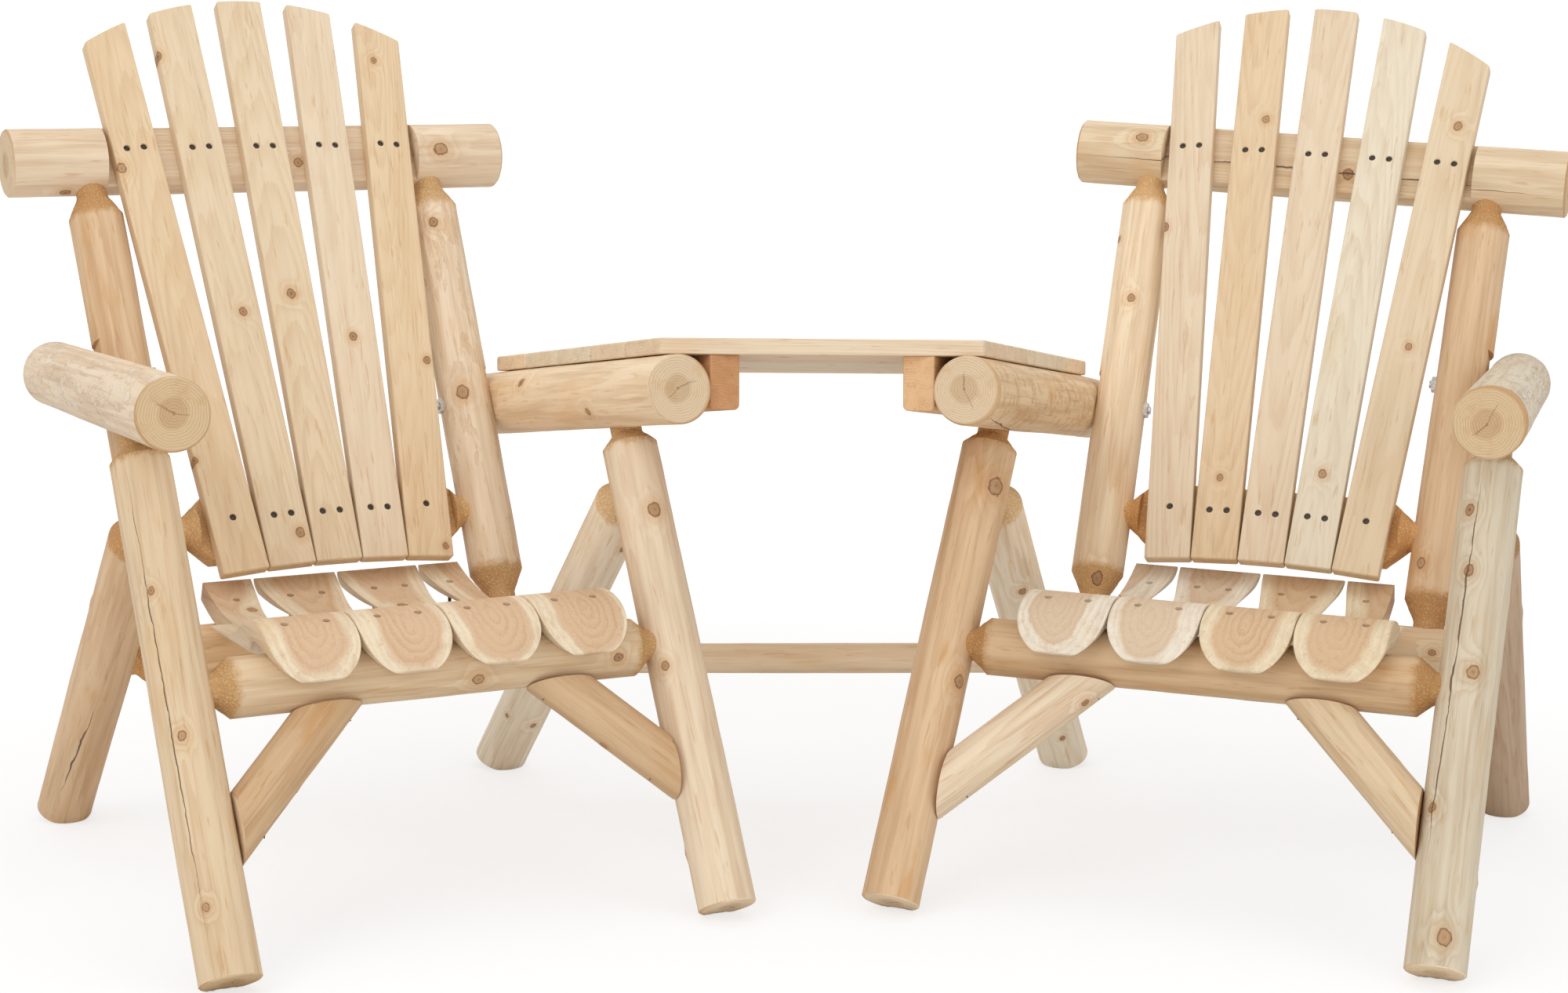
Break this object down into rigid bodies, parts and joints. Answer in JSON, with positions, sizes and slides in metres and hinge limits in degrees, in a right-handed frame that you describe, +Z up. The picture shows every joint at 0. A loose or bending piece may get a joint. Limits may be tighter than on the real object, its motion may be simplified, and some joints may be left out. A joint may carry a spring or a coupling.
{
  "type": "log tete-a-tete",
  "caption": "Log armchair pair with fan backs and contour-sawn seats, angled toward each other and joined by a boarded corner table on the inner arms.",
  "frame": {"origin": "on the floor, in the middle of the overall width and depth", "axes": "+X to the right as seen from the front, along the overall width; the front faces -Y; +Z up"},
  "size_m": [2.0308, 1.0779, 1.0385],
  "materials": {
    "log_pale": "matte",
    "log_cream": "matte",
    "log_tan": "matte",
    "planed_board": "matte",
    "sawn_slat": "matte",
    "lumber": "matte",
    "steel": "satin"
  },
  "bodies": {
    "root": {"left_front_leg_outer": "log_cream", "left_front_leg_inner": "log_cream", "left_rear_leg_outer": "log_cream", "left_rear_leg_inner": "log_pale", "left_front_seat_rail": "log_cream", "left_rear_seat_rail": "log_cream", "left_brace_outer": "log_cream", "left_brace_inner": "log_cream", "left_back_post_outer": "log_cream", "left_back_post_inner": "log_cream", "left_top_rail": "log_cream", "left_lower_back_rail": "log_tan", "left_arm_outer": "log_pale", "left_arm_inner": "log_cream", "left_back_slat_1": "planed_board", "left_back_slat_2": "planed_board", "left_back_slat_3": "planed_board", "left_back_slat_4": "planed_board", "left_back_slat_5": "planed_board", "left_seat_slat_1": "sawn_slat", "left_seat_slat_2": "sawn_slat", "left_seat_slat_3": "sawn_slat", "left_seat_slat_4": "sawn_slat", "right_front_leg_outer": "log_pale", "right_front_leg_inner": "log_tan", "right_rear_leg_outer": "log_cream", "right_rear_leg_inner": "log_pale", "right_front_seat_rail": "log_cream", "right_rear_seat_rail": "log_cream", "right_brace_outer": "log_cream", "right_brace_inner": "log_pale", "right_back_post_outer": "log_cream", "right_back_post_inner": "log_cream", "right_top_rail": "log_cream", "right_lower_back_rail": "log_tan", "right_arm_outer": "log_pale", "right_arm_inner": "log_cream", "right_back_slat_1": "planed_board", "right_back_slat_2": "planed_board", "right_back_slat_3": "planed_board", "right_back_slat_4": "planed_board", "right_back_slat_5": "planed_board", "right_seat_slat_1": "sawn_slat", "right_seat_slat_2": "sawn_slat", "right_seat_slat_3": "sawn_slat", "right_seat_slat_4": "sawn_slat", "table_board_1": "planed_board", "table_board_2": "planed_board", "table_board_3": "planed_board", "table_board_4": "planed_board", "table_board_5": "planed_board", "table_support_left": "lumber", "table_support_right": "lumber", "stretcher_pole": "log_cream", "back_slat_screws": "steel", "seat_slat_screws": "steel", "table_screws": "steel", "frame_screws": "steel", "arm_bolts": "steel", "arm_nuts": "steel"}
  },
  "joints": []
}
